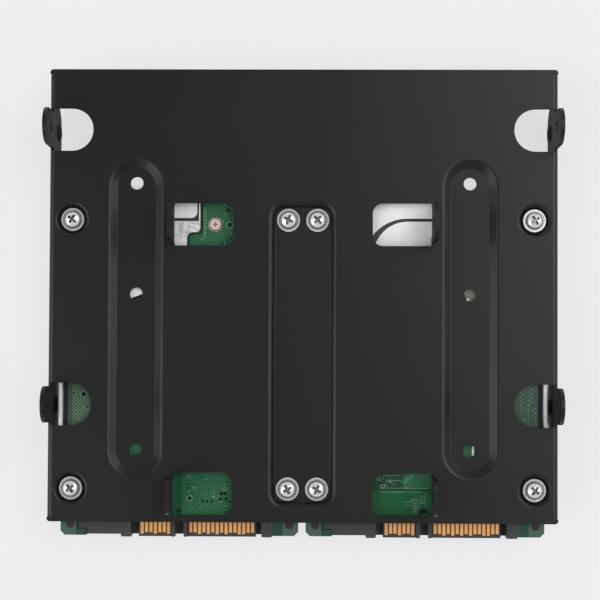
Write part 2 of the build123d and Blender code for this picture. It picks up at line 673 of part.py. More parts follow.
board_screw = small_screw(
    BOARD_SCREW_RADIUS, BOARD_SCREW_LENGTH, BOARD_SCREW_HEAD_RADIUS, BOARD_SCREW_HEAD_HEIGHT
)
with BuildPart() as board_screws:
    with Locations(*[(x, y, board_top) for x, y in board_screw_places]):
        add(board_screw)
export_pair(board_screws.part, "board_screws")


# Connector body: a shelf between two end blocks, with the two keyed tongues standing out of it
first_signal_x = DRIVE_WIDTH - FIRST_SIGNAL_INSET
first_power_x = first_signal_x + (SIGNAL_COUNT - 1) * CONTACT_PITCH + SIGNAL_TO_POWER
left_block_end_x = first_signal_x - LEFT_BLOCK_CLEARANCE
left_block_toe_x = left_block_end_x - LEFT_BLOCK_TOE_WIDTH
right_block_start_x = connector_right_x - RIGHT_BLOCK_WIDTH
signal_xs = [first_signal_x + i * CONTACT_PITCH for i in range(SIGNAL_COUNT)]
power_xs = [first_power_x + i * CONTACT_PITCH for i in range(POWER_COUNT)]
tongue_spans = [(xs[0] - TONGUE_MARGIN, xs[-1] + TONGUE_MARGIN) for xs in (signal_xs, power_xs)]
key_starts = (tongue_spans[0][1], tongue_spans[1][0] - KEY_WIDTH)

with BuildPart() as connector_body:
    block_bottom = -CONNECTOR_TOP_DROP - CONNECTOR_HEIGHT
    with BuildSketch(Plane.XY.offset(block_bottom)):
        with Locations((CONNECTOR_LEFT_X + INSULATOR_GAP, CONNECTOR_SHELF_Y)):
            Rectangle(
                connector_right_x - CONNECTOR_LEFT_X - 2 * INSULATOR_GAP,
                CONNECTOR_BACK_Y - CONNECTOR_SHELF_Y - INSULATOR_GAP,
                align=corner,
            )
        with Locations((CONNECTOR_LEFT_X + INSULATOR_GAP, CONNECTOR_LOW_Y + INSULATOR_GAP)):
            Rectangle(
                left_block_end_x - CONNECTOR_LEFT_X - INSULATOR_GAP,
                CONNECTOR_SHELF_Y - CONNECTOR_LOW_Y,
                align=corner,
            )
        with Locations((CONNECTOR_LOW_X + INSULATOR_GAP, BOARD_TAB_END_Y + TONGUE_NOSE)):
            Rectangle(
                left_block_end_x - CONNECTOR_LOW_X - INSULATOR_GAP,
                CONNECTOR_SHELF_Y - BOARD_TAB_END_Y - TONGUE_NOSE,
                align=corner,
            )
        with Locations((left_block_toe_x, 0)):
            Rectangle(LEFT_BLOCK_TOE_WIDTH, CONNECTOR_SHELF_Y, align=corner)
        with Locations((right_block_start_x, 0)):
            Rectangle(RIGHT_BLOCK_WIDTH - INSULATOR_GAP, CONNECTOR_SHELF_Y, align=corner)
    extrude(amount=CONNECTOR_HEIGHT)
    chamfer(connector_body.edges().filter_by_position(Axis.Y, 0, 0).group_by(Axis.Z)[-1], TONGUE_NOSE)
    with BuildSketch(Plane.XY.offset(block_bottom)):
        with Locations((left_block_end_x, CONNECTOR_FLOOR_END_Y)):
            Rectangle(
                right_block_start_x - left_block_end_x,
                CONNECTOR_SHELF_Y - CONNECTOR_FLOOR_END_Y,
                align=corner,
            )
    extrude(amount=CONNECTOR_FLOOR_THICKNESS)
    with BuildSketch(Plane.XY.offset(-TONGUE_DROP)):
        for start, end in tongue_spans:
            with Locations((start, 0)):
                Rectangle(end - start, CONNECTOR_SHELF_Y, align=corner)
        for start in key_starts:
            with Locations((start, 0)):
                Rectangle(KEY_WIDTH, CONNECTOR_SHELF_Y, align=corner)
    extrude(amount=-TONGUE_THICKNESS)
    with BuildSketch(Plane.XY.offset(-TONGUE_DROP)):
        for start in key_starts:
            with Locations((start, 0)):
                Rectangle(KEY_WIDTH, CONNECTOR_SHELF_Y, align=corner)
    extrude(amount=KEY_RISE)
export_pair(connector_body.part, "connector_body")


def contact_row(xs, long_contacts):
    """Flat contacts on a tongue; those that mate first reach further towards its nose."""
    with BuildPart() as row:
        with BuildSketch(Plane.XY.offset(-TONGUE_DROP)):
            for index, x in enumerate(xs):
                end_y = LONG_CONTACT_END_Y if index in long_contacts else SHORT_CONTACT_END_Y
                with Locations((x, end_y)):
                    Rectangle(CONTACT_WIDTH, CONNECTOR_SHELF_Y - end_y, align=(Align.CENTER, Align.MIN))
        extrude(amount=CONTACT_HEIGHT)
    return row.part


export_pair(contact_row(signal_xs, LONG_SIGNAL_CONTACTS), "signal_contacts")
export_pair(contact_row(power_xs, LONG_POWER_CONTACTS), "power_contacts")


# Gasket: a closed frame between the casting and the cover
with BuildPart() as cover_gasket:
    with BuildSketch(Plane.XY.offset(gasket_bottom)):
        with Locations(casting_middle):
            RectangleRounded(
                DRIVE_WIDTH - 2 * COVER_INSET,
                casting_length - 2 * COVER_INSET,
                COVER_CORNER_RADIUS,
            )
            RectangleRounded(
                DRIVE_WIDTH - 2 * (COVER_INSET + GASKET_WIDTH),
                casting_length - 2 * (COVER_INSET + GASKET_WIDTH),
                COVER_CORNER_RADIUS,
                mode=Mode.SUBTRACT,
            )
    extrude(amount=GASKET_THICKNESS)
export_pair(cover_gasket.part, "cover_gasket")


# Top cover: a stamped lid with a raised field, screwed down round its edge
with BuildPart() as top_cover:
    with BuildSketch(Plane.XY.offset(cover_bottom)):
        with Locations(casting_middle):
            RectangleRounded(
                DRIVE_WIDTH - 2 * COVER_INSET,
                casting_length - 2 * COVER_INSET,
                COVER_CORNER_RADIUS,
            )
    extrude(amount=COVER_THICKNESS)
    with BuildSketch(Plane.XY.offset(cover_bottom)):
        with Locations(casting_middle):
            RectangleRounded(
                DRIVE_WIDTH - 2 * (COVER_INSET + GASKET_WIDTH),
                casting_length - 2 * (COVER_INSET + GASKET_WIDTH),
                COVER_CORNER_RADIUS,
            )
        with Locations(*cover_screw_places):
            Circle(COVER_SCREW_HEAD_RADIUS + COVER_EMBOSS_STANDOFF, mode=Mode.SUBTRACT)
    extrude(amount=-COVER_EMBOSS_HEIGHT)
    fillet(top_cover.faces().sort_by(Axis.Z)[0].edges(), STEP_ROUNDING)
    with BuildSketch(Plane.XY.offset(cover_bottom - COVER_EMBOSS_HEIGHT)):
        with Locations((spindle_x, SPINDLE_Y)):
            for bead_radius in COVER_BEAD_RADII:
                Circle(bead_radius)
                Circle(bead_radius - COVER_BEAD_WIDTH, mode=Mode.SUBTRACT)
    extrude(amount=COVER_BEAD_DEPTH, mode=Mode.SUBTRACT)
    with Locations(*cover_screw_places):
        Hole(COVER_SCREW_RADIUS + THREAD_CLEARANCE)
export_pair(top_cover.part, "top_cover")

cover_screw = small_screw(
    COVER_SCREW_RADIUS, COVER_SCREW_LENGTH, COVER_SCREW_HEAD_RADIUS, COVER_SCREW_HEAD_HEIGHT
)
with BuildPart() as cover_screws:
    with Locations(*[Location((x, y, cover_bottom), (180, 0, 0)) for x, y in cover_screw_places]):
        add(cover_screw)
export_pair(cover_screws.part, "cover_screws")
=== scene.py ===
import json
import math
import random

import bmesh
import bpy
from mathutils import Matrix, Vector


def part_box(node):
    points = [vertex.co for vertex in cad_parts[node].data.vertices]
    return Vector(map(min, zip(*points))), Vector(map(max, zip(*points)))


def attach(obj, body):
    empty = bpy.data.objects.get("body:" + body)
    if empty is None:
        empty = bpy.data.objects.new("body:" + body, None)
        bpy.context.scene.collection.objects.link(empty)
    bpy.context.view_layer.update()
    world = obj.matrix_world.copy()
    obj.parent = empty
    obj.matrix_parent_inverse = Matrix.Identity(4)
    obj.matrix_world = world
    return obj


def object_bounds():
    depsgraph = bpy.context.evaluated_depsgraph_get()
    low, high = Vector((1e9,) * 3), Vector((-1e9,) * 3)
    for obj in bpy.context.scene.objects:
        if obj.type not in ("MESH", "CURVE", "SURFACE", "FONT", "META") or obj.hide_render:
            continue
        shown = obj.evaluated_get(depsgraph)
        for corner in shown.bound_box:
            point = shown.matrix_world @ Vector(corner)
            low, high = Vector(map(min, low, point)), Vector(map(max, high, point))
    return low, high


# Looks for a folded black steel bracket that carries two 2.5-inch drives.
# Metres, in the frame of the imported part: +Z is the plate's open face.

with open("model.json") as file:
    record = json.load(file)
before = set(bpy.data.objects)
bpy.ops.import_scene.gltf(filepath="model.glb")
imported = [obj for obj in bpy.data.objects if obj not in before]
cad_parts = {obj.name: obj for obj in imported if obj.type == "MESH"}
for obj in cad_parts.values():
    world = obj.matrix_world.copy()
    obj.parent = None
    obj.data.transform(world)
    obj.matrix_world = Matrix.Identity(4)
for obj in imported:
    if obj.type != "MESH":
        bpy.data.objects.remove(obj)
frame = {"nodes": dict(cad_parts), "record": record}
cad_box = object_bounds()
nodes = frame["nodes"]
MM = 0.001
SIDES = ("left", "right")

# Places on the drives, in millimetres from a drive's left side and connector end
board_corner = {side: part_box(f"{side}_circuit_board")[0] for side in SIDES}
board_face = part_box("left_circuit_board")[1].z
board_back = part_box("left_circuit_board")[0].z
casting_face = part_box("left_base_casting")[1].z
BOARD_INSET_X = 0.95
BOARD_INSET_Y = 0.5


def on_drive(side, x, y, z):
    """A point in metres from millimetres in the drive's own frame, at height z in metres."""
    corner = board_corner[side]
    return (corner.x + (x - BOARD_INSET_X) * MM, corner.y + (y - BOARD_INSET_Y) * MM, z)


# Shader helpers

EVEN = (1.0, 1.0, 1.0)
EDGE_SOFTNESS = 0.05
NOISE_RANGE = (0.3, 0.7)

# Levels of detail in a noise
SOFT_DETAIL = 2.0
PLAIN_DETAIL = 3.0
FINE_DETAIL = 4.0
SHARP_DETAIL = 5.0

# Sockets that the Mix node uses for colours
FIRST_COLOUR = 6
SECOND_COLOUR = 7
MIXED_COLOUR = 2


def new_material(name, colour, roughness, metallic=0.0):
    """A Principled material; returns it with its node tree and shader."""
    material = bpy.data.materials.new(name)
    material.use_nodes = True
    tree = material.node_tree
    shader = tree.nodes["Principled BSDF"]
    shader.inputs["Base Color"].default_value = (*colour, 1)
    shader.inputs["Roughness"].default_value = roughness
    shader.inputs["Metallic"].default_value = metallic
    return material, tree, shader


def add_node(tree, kind, inputs=None, **settings):
    """A shader node with its settings and its sockets' values or links."""
    made = tree.nodes.new(kind)
    for name, value in settings.items():
        setattr(made, name, value)
    for name, value in (inputs or {}).items():
        if isinstance(value, bpy.types.NodeSocket):
            tree.links.new(value, made.inputs[name])
        else:
            made.inputs[name].default_value = value
    return made


def millimetres(tree, scale=EVEN):
    """Object coordinates in millimetres, stretched by scale."""
    place = add_node(tree, "ShaderNodeTexCoord")
    stretch = add_node(tree, "ShaderNodeVectorMath", operation="MULTIPLY")
    tree.links.new(place.outputs["Object"], stretch.inputs[0])
    stretch.inputs[1].default_value = [s / MM for s in scale]
    return stretch.outputs[0]


def axes(tree):
    """Object coordinates in millimetres, apart."""
    return add_node(tree, "ShaderNodeSeparateXYZ", {"Vector": millimetres(tree)}).outputs


def noise(tree, scale, detail=PLAIN_DETAIL, stretch=EVEN):
    """Noise with about scale spots to a millimetre."""
    made = add_node(
        tree,
        "ShaderNodeTexNoise",
        {"Vector": millimetres(tree, stretch), "Scale": scale, "Detail": detail},
    )
    return made.outputs["Fac"]


def spread(tree, value, low, high, to_low=0.0, to_high=1.0):
    """Maps a value from low..high to to_low..to_high, clamped."""
    made = add_node(
        tree,
        "ShaderNodeMapRange",
        {"Value": value, "From Min": low, "From Max": high, "To Min": to_low, "To Max": to_high},
    )
    return made.outputs["Result"]


def calculate(tree, operation, *values):
    """One Math node on values or sockets."""
    made = add_node(tree, "ShaderNodeMath", operation=operation)
    for socket, value in zip(made.inputs, values):
        if isinstance(value, bpy.types.NodeSocket):
            tree.links.new(value, socket)
        else:
            socket.default_value = value
    return made.outputs[0]


def product(tree, first, *others):
    """Several values multiplied."""
    for other in others:
        first = calculate(tree, "MULTIPLY", first, other)
    return first


def largest(tree, first, *others):
    """The largest of several values."""
    for other in others:
        first = calculate(tree, "MAXIMUM", first, other)
    return first


def opposite(tree, value):
    """1 where the value is 0, and 0 where it is 1."""
    return calculate(tree, "SUBTRACT", 1.0, value)


def above(tree, value, edge, soft=EDGE_SOFTNESS):
    """1 above the edge and 0 below it, with a soft step."""
    return spread(tree, value, edge - soft, edge + soft)


def below(tree, value, edge, soft=EDGE_SOFTNESS):
    """1 below the edge and 0 above it, with a soft step."""
    return spread(tree, value, edge - soft, edge + soft, 1.0, 0.0)


def in_range(tree, value, low, high, soft=EDGE_SOFTNESS):
    """1 between low and high, 0 outside, with soft edges."""
    return product(tree, above(tree, value, low, soft), below(tree, value, high, soft))


def facing_up(tree, low, high):
    """1 on faces that look along +Z, 0 on upright ones, with a ramp between two slopes."""
    place = add_node(tree, "ShaderNodeTexCoord")
    parts = add_node(tree, "ShaderNodeSeparateXYZ", {"Vector": place.outputs["Normal"]})
    return spread(tree, parts.outputs["Z"], low, high)


def blend_colours(tree, factor, first, second):
    """A colour between two colours or colour sockets."""
    made = add_node(tree, "ShaderNodeMix", data_type="RGBA")
    tree.links.new(factor, made.inputs["Factor"])
    for index, colour in ((FIRST_COLOUR, first), (SECOND_COLOUR, second)):
        if isinstance(colour, bpy.types.NodeSocket):
            tree.links.new(colour, made.inputs[index])
        else:
            made.inputs[index].default_value = (*colour, 1)
    return made.outputs[MIXED_COLOUR]


def share_of(colour, share):
    """A colour made lighter or darker."""
    return [channel * share for channel in colour]


def uneven_roughness(tree, shader, pattern, low, high):
    """Roughness that follows a noise from low to high."""
    tree.links.new(spread(tree, pattern, *NOISE_RANGE, low, high), shader.inputs["Roughness"])


def bump(tree, shader, height, strength, depth_mm):
    """Fine relief from a height value."""
    made = add_node(
        tree,
        "ShaderNodeBump",
        {"Height": height, "Strength": strength, "Distance": depth_mm * MM},
    )
    tree.links.new(made.outputs["Normal"], shader.inputs["Normal"])


# Materials, one function for each finish. A relief is its strength and its depth in millimetres.

BLACK_LOW = (0.0032, 0.0032, 0.0035)
BLACK_HIGH = (0.0056, 0.0056, 0.006)
BLACK_GLOSS = 0.37
BLACK_GRAIN = 9.0
BLACK_CLOUD = 0.05
BLACK_RELIEF = (0.12, 0.01)
COAT_SLOPES = (0.05, 0.5)
COAT_UNEVENNESS = 0.04
UPRIGHT_ROUGHNESS = 0.75
FLAT_ROUGHNESS = 0.38


def black_steel():
    """Satin black coat, duller on the upright faces that the coat reaches last."""
    material, tree, shader = new_material("black steel", BLACK_LOW, FLAT_ROUGHNESS)
    shader.inputs["Specular IOR Level"].default_value = BLACK_GLOSS
    grain = noise(tree, BLACK_GRAIN, FINE_DETAIL)
    cloud = noise(tree, BLACK_CLOUD, SOFT_DETAIL)
    tree.links.new(blend_colours(tree, cloud, BLACK_LOW, BLACK_HIGH), shader.inputs["Base Color"])
    level = spread(tree, facing_up(tree, *COAT_SLOPES), 0.0, 1.0, UPRIGHT_ROUGHNESS, FLAT_ROUGHNESS)
    uneven = spread(tree, grain, *NOISE_RANGE, -COAT_UNEVENNESS, COAT_UNEVENNESS)
    tree.links.new(calculate(tree, "ADD", level, uneven), shader.inputs["Roughness"])
    bump(tree, shader, grain, *BLACK_RELIEF)
    return material


BRUSH_LINES = 6.0
ALONG_X = (0.06, 1.0, 1.0)
BRUSHED_SHADE = 0.82
BRUSHED_RELIEF = (0.1, 0.01)
ROUGHNESS_DROP = 0.06
ROUGHNESS_RISE = 0.08


def brushed(name, colour, roughness):
    """Bright metal with fine lines drawn along X."""
    material, tree, shader = new_material(name, colour, roughness, metallic=1.0)
    lines = noise(tree, BRUSH_LINES, PLAIN_DETAIL, ALONG_X)
    darker = share_of(colour, BRUSHED_SHADE)
    tree.links.new(blend_colours(tree, lines, darker, colour), shader.inputs["Base Color"])
    uneven_roughness(tree, shader, lines, roughness - ROUGHNESS_DROP, roughness + ROUGHNESS_RISE)
    bump(tree, shader, lines, *BRUSHED_RELIEF)
    return material


PLATE_SPOTS = 1.2
PLATE_SHADE = 0.85
PLATE_DROP = 0.05
PLATE_SLOPES = (0.3, 0.8)
# Painted shade: steep faces take this share of the colour, and flat faces at the sunk heights go
# SUNK_SHADE of the way to it
STEEP_SHADE = 0.05
SUNK_SHADE = 0.72
SUNK_BAND = 0.06
SUNK_SOFTNESS = 0.02


def plated(name, colour, roughness, metallic=1.0, sunk_heights=()):
    """Bright plate, with painted shade on its steep faces and on the flat faces at the sunk heights."""
    material, tree, shader = new_material(name, colour, roughness, metallic)
    spots = noise(tree, PLATE_SPOTS)
    shade = share_of(colour, STEEP_SHADE)
    face = blend_colours(tree, spots, share_of(colour, PLATE_SHADE), colour)
    # painted shade on the steep faces
    face = blend_colours(tree, facing_up(tree, *PLATE_SLOPES), shade, face)
    for height in sunk_heights:
        # painted shade on the flat faces at each sunk height
        sunk = in_range(tree, axes(tree)["Z"], height - SUNK_BAND, height + SUNK_BAND, SUNK_SOFTNESS)
        face = blend_colours(tree, product(tree, sunk, SUNK_SHADE), face, shade)
    tree.links.new(face, shader.inputs["Base Color"])
    uneven_roughness(tree, shader, spots, roughness - PLATE_DROP, roughness + ROUGHNESS_RISE)
    return material


CAST_LOW = (0.9, 0.9, 0.905)
CAST_HIGH = (0.96, 0.96, 0.96)
CAST_DULL = (0.5, 0.5, 0.51)
CAST_METAL = 0.06
CAST_ROUGHNESS = (0.34, 0.48)
CAST_GRAIN = 5.0
CAST_RELIEF = (0.15, 0.02)
CAST_MOTTLE = 0.35
MOTTLE_RANGE = (0.35, 0.65)
DULL_SPOTS = 0.9
DULL_RANGE = (0.35, 0.75)
DULL_FIELD_Y = (12.0, 23.9)
# Painted shade for the floor of the casting's groove
GROOVE_PAINTED_SHADE = (0.05, 0.05, 0.052)
GROOVE_FLOOR_DEPTH = 1.3
GROOVE_BAND = 0.45
FLAT_SLOPES = (0.4, 0.6)


def cast_aluminium():
    """Bright die casting with painted shade on its groove floor; the left deck below the groove is dull
    in patches.
    """
    material, tree, shader = new_material("cast aluminium", CAST_HIGH, CAST_ROUGHNESS[0], CAST_METAL)
    parts = axes(tree)
    grain = noise(tree, CAST_GRAIN, SHARP_DETAIL)
    mottle = spread(tree, noise(tree, CAST_MOTTLE), *MOTTLE_RANGE)
    bright = blend_colours(tree, mottle, CAST_LOW, CAST_HIGH)
    on_left = below(tree, parts["X"], 0.0)
    below_groove = in_range(tree, parts["Y"], *DULL_FIELD_Y)
    patches = spread(tree, noise(tree, DULL_SPOTS, FINE_DETAIL), *DULL_RANGE)
    bright = blend_colours(tree, product(tree, on_left, below_groove, patches), bright, CAST_DULL)
    # painted shade on the flat floor of the groove
    groove_height = casting_face / MM - GROOVE_FLOOR_DEPTH
    deep = in_range(tree, parts["Z"], groove_height - GROOVE_BAND, groove_height + GROOVE_BAND)
    groove = product(tree, deep, facing_up(tree, *FLAT_SLOPES))
    tree.links.new(blend_colours(tree, groove, bright, GROOVE_PAINTED_SHADE), shader.inputs["Base Color"])
    uneven_roughness(tree, shader, grain, *CAST_ROUGHNESS)
    bump(tree, shader, grain, *CAST_RELIEF)
    return material


MASK_DARK = (0.002, 0.02, 0.009)
MASK_GREEN = (0.003, 0.032, 0.014)
COPPER_GREEN = (0.055, 0.3, 0.14)
COPPER_BARE = (0.19, 0.31, 0.2)
COPPER_PATCH = (0.42, 0.44, 0.36)
MARGIN_GREEN = (0.05, 0.1, 0.08)
PLAIN_GREEN = (0.004, 0.094, 0.03)
PLAIN_GREY = (0.04, 0.085, 0.05)
LAMINATE_EDGE = (0.025, 0.032, 0.025)
BOARD_GLOSS = 0.3
BOARD_ROUGHNESS = (0.3, 0.42)
BOARD_DUST = 3.0
MESH_PITCH = 0.92
MESH_WIDTH = 0.1
MESH_SOFT = 0.08
MESH_RELIEF = (0.35, 0.02)
CROSSING_SHARE = 0.45
DRIVE_CENTRE_X = 35.025
BOARD_MARGIN_INNER = 30.9
BARE_MESH_INNER = 25.0

# The tabs beside the connector are dark green, with a pale pad round their holes
TAB_TOP_Y = -60.6
TAB_PAD_INNER = 29.5
TAB_GREEN = (0.015, 0.055, 0.036)
TAB_PAD_GREEN = (0.055, 0.105, 0.08)

# On the left board a plain column stands at the lower window's left side
COLUMN_X = (-36.8, -34.3)
COLUMN_TOP_Y = -46.0

# On the right board a dark line crosses the lower window, with a plain field below it
DIVIDE_Y = -52.9
DIVIDE_HALF_WIDTH = 0.14
FIELD_END_X = 31.0
FIELD_END_SHARE = 0.35

# Above that line, and in the side notch, the right board has little mesh
BUSY_END_X = 28.8
BUSY_TOP_Y = -44.0
BUSY_SHARE = 0.75
NOTCH_SHARE = 0.85

# Bare mesh that the right rib's middle hole shows
PATCH_X = (44.5, 50.5)
PATCH_Y = (0.0, 6.0)


def diagonal_lines(tree, sign):
    """1 on the copper mesh's diagonal lines, 0 between them; sign turns them one way or the other."""
    parts = axes(tree)
    along = calculate(tree, "MULTIPLY_ADD", parts["Y"], sign, parts["X"])
    wave = calculate(tree, "PINGPONG", along, MESH_PITCH / 2)
    return spread(tree, wave, MESH_WIDTH, MESH_WIDTH + MESH_PITCH * MESH_SOFT, 1.0, 0.0)


def green_board():
    """Green mask over copper mesh, plain at its sides, its tabs and in a few fields."""
    material, tree, shader = new_material("green board", MASK_GREEN, BOARD_ROUGHNESS[0])
    shader.inputs["Specular IOR Level"].default_value = BOARD_GLOSS
    parts = axes(tree)
    across = calculate(tree, "ABSOLUTE", parts["X"])
    from_centre = calculate(tree, "ABSOLUTE", calculate(tree, "SUBTRACT", across, DRIVE_CENTRE_X))
    on_right = above(tree, parts["X"], 0.0)
    tab = below(tree, parts["Y"], TAB_TOP_Y)

    bare = spread(tree, from_centre, BARE_MESH_INNER, BARE_MESH_INNER + MESH_PITCH)
    crossed = product(tree, diagonal_lines(tree, -1.0), largest(tree, bare, CROSSING_SHARE))
    mesh = largest(tree, diagonal_lines(tree, 1.0), crossed)

    below_divide = below(tree, parts["Y"], DIVIDE_Y)
    plain_share = spread(tree, parts["X"], FIELD_END_X, FIELD_END_X + MESH_PITCH, 1.0, FIELD_END_SHARE)
    field = product(tree, on_right, below_divide, plain_share)
    below_column_top = spread(tree, parts["Y"], COLUMN_TOP_Y, COLUMN_TOP_Y + MESH_PITCH, 1.0, 0.0)
    column = product(tree, in_range(tree, parts["X"], *COLUMN_X, MESH_PITCH / 2), below_column_top)
    field = largest(tree, field, tab, column)
    busy = in_range(tree, parts["X"], 0.0, BUSY_END_X, MESH_PITCH / 2)
    busy = product(tree, busy, in_range(tree, parts["Y"], DIVIDE_Y, BUSY_TOP_Y))
    notch = product(tree, on_right, bare)
    plain = largest(tree, field, product(tree, busy, BUSY_SHARE), product(tree, notch, NOTCH_SHARE))
    mesh = product(tree, mesh, opposite(tree, plain))

    patch = product(tree, in_range(tree, parts["X"], *PATCH_X), in_range(tree, parts["Y"], *PATCH_Y))
    copper = blend_colours(tree, bare, COPPER_GREEN, COPPER_BARE)
    copper = blend_colours(tree, patch, copper, COPPER_PATCH)
    dust = noise(tree, BOARD_DUST, FINE_DETAIL)
    base = blend_colours(tree, dust, MASK_DARK, MASK_GREEN)
    base = blend_colours(tree, field, base, PLAIN_GREEN)
    base = blend_colours(tree, largest(tree, notch, patch), base, PLAIN_GREY)
    pad = spread(tree, from_centre, TAB_PAD_INNER, TAB_PAD_INNER + EDGE_SOFTNESS)
    base = blend_colours(tree, tab, base, blend_colours(tree, pad, TAB_GREEN, TAB_PAD_GREEN))

    face = blend_colours(tree, mesh, base, copper)
    line = in_range(tree, parts["Y"], DIVIDE_Y - DIVIDE_HALF_WIDTH, DIVIDE_Y + DIVIDE_HALF_WIDTH)
    face = blend_colours(tree, product(tree, line, on_right), face, MASK_DARK)
    margin = spread(tree, from_centre, BOARD_MARGIN_INNER, BOARD_MARGIN_INNER + EDGE_SOFTNESS)
    face = blend_colours(tree, product(tree, margin, opposite(tree, tab)), face, MARGIN_GREEN)
    face = blend_colours(tree, facing_up(tree, *FLAT_SLOPES), LAMINATE_EDGE, face)
    tree.links.new(face, shader.inputs["Base Color"])
    uneven_roughness(tree, shader, dust, *BOARD_ROUGHNESS)
    bump(tree, shader, mesh, *MESH_RELIEF)
    return material


MATT_LOW_SHARE = 0.8
MATT_HIGH_SHARE = 1.2
MATT_RELIEF = (0.2, 0.02)
PLASTIC_GRAIN = 8.0
FOAM_GRAIN = 4.0


def matt(name, colour, roughness, grain_scale=PLASTIC_GRAIN):
    """Moulded plastic, film or foam with a fine grain."""
    material, tree, shader = new_material(name, colour, roughness)
    grain = noise(tree, grain_scale, FINE_DETAIL)
    colours = (share_of(colour, MATT_LOW_SHARE), share_of(colour, MATT_HIGH_SHARE))
    tree.links.new(blend_colours(tree, grain, *colours), shader.inputs["Base Color"])
    uneven_roughness(tree, shader, grain, roughness - ROUGHNESS_DROP, roughness + ROUGHNESS_RISE)
    bump(tree, shader, grain, *MATT_RELIEF)
    return material


SPECKLE_RANGE = (0.42, 0.58)


def speckled(name, first, second, scale, roughness):
    """A dull finish that changes between two colours in small spots."""
    material, tree, shader = new_material(name, first, roughness)
    spots = spread(tree, noise(tree, scale), *SPECKLE_RANGE)
    tree.links.new(blend_colours(tree, spots, first, second), shader.inputs["Base Color"])
    return material


# Heights of the screws' recess floors and trenches, where the plated finishes paint shade
SCREW_RECESS_DEPTH = 1.3
SCREW_TRENCH_DEPTH = 1.7
BOARD_SCREW_RECESS_DEPTH = 0.35
screw_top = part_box("left_drive_screws")[1].z / MM
screw_sunk = (screw_top - SCREW_RECESS_DEPTH, screw_top - SCREW_TRENCH_DEPTH)
board_screw_sunk = (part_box("left_board_screws")[1].z / MM - BOARD_SCREW_RECESS_DEPTH,)

# The finish of each material slot in the record
FINISHES = {
    "black_steel": black_steel(),
    "screw_steel": plated("bright screws", (0.9, 0.9, 0.89), 0.2, 0.62, screw_sunk),
    "cast_aluminium": cast_aluminium(),
    "motor_steel": brushed("motor steel", (0.62, 0.62, 0.62), roughness=0.28),
    "black_film": matt("black film", (0.008, 0.008, 0.008), roughness=0.5),
    "green_board": green_board(),
    "copper_screw": plated("copper screws", (0.9, 0.68, 0.6), 0.35, 0.25, board_screw_sunk),
    "grey_plastic": matt("grey plastic", (0.029, 0.03, 0.031), roughness=0.5),
    "gold_contact": plated("gold contacts", (0.95, 0.47, 0.16), roughness=0.34, metallic=0.35),
    "seal_rubber": matt("black foam", (0.014, 0.014, 0.014), 0.75, FOAM_GRAIN),
    "cover_steel": brushed("brushed cover", (0.62, 0.62, 0.63), roughness=0.3),
    "small_screw_steel": plated("small screws", (0.55, 0.55, 0.56), roughness=0.25),
}

# Finishes of the fine board details
pad_copper = speckled("solder pads", (0.06, 0.03, 0.025), (0.6, 0.4, 0.35), scale=2.2, roughness=0.4)
mask_light = speckled(
    "mask over copper", (0.09, 0.26, 0.14), (0.22, 0.38, 0.25), scale=1.5, roughness=0.4
)
solder = plated("solder", (0.9, 0.9, 0.88), roughness=0.35, metallic=0.3)
# Painted shade, dark brown, that stands for the inside of the tabs' tooling holes
tab_hole = speckled("tab holes", (0.008, 0.003, 0.002), (0.03, 0.009, 0.006), scale=1.2, roughness=0.6)
# Painted shade that stands for the inside of the drilled holes
hole_shade = matt("drilled holes", (0.0015, 0.004, 0.003), roughness=0.8)

for record_row in frame["record"]["subparts"]:
    finish = FINISHES[record_row["material_slot"]]
    for material_slot in nodes[record_row["node"]].material_slots:
        material_slot.material = finish


# Helpers for the fine details, each kind joined into one mesh for each drive

CIRCLE_CORNERS = 20
DOT_CORNERS = 10
HOLE_CORNERS = 32


def add_piece(name, build, material):
    """A new mesh piece made by build, riding on the bracket's body."""
    shape = bmesh.new()
    build(shape)
    mesh = bpy.data.meshes.new(name)
    shape.to_mesh(mesh)
    shape.free()
    piece = bpy.data.objects.new(name, mesh)
    bpy.context.scene.collection.objects.link(piece)
    mesh.materials.append(material)
    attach(piece, "root")
    return piece


def draw_circle(shape, centre, radius, rise, corners):
    """The corners of a flat circle at the given rise above centre."""
    turns = [math.tau * i / corners for i in range(corners)]
    return [
        shape.verts.new(
            (centre[0] + radius * math.cos(turn), centre[1] + radius * math.sin(turn), centre[2] + rise)
        )
        for turn in turns
    ]


def join_outlines(shape, first, second):
    """A band of faces between two outlines with as many corners."""
    for i, corner in enumerate(first):
        j = (i + 1) % len(first)
        shape.faces.new((corner, first[j], second[j], second[i]))


def close_block(shape, bottom, top):
    """The end faces and the walls between a bottom and a top outline."""
    shape.faces.new(list(reversed(bottom)))
    shape.faces.new(top)
    join_outlines(shape, bottom, top)


def draw_ring(shape, centre, inner, outer, height, corners=CIRCLE_CORNERS):
    """A flat ring of the given height, standing on centre."""
    section = ((outer, 0.0), (outer, height), (inner, height), (inner, 0.0))
    circles = [draw_circle(shape, centre, radius, rise, corners) for radius, rise in section]
    for first, second in zip(circles, circles[1:] + circles[:1]):
        join_outlines(shape, first, second)


def draw_disc(shape, centre, radius, height, corners=CIRCLE_CORNERS):
    """A closed disc standing on centre."""
    bottom, top = [draw_circle(shape, centre, radius, rise, corners) for rise in (0.0, height)]
    close_block(shape, bottom, top)


def draw_strip(shape, start, end, width, height):
    """A thin straight strip between two points of the same height."""
    length = math.hypot(end[0] - start[0], end[1] - start[1])
    across = ((start[1] - end[1]) / length * width / 2, (end[0] - start[0]) / length * width / 2)
    bottom, top = [
        [
            shape.verts.new((point[0] + sign * across[0], point[1] + sign * across[1], point[2] + rise))
            for point, sign in ((start, 1), (end, 1), (end, -1), (start, -1))
        ]
        for rise in (0.0, height)
    ]
    close_block(shape, bottom, top)


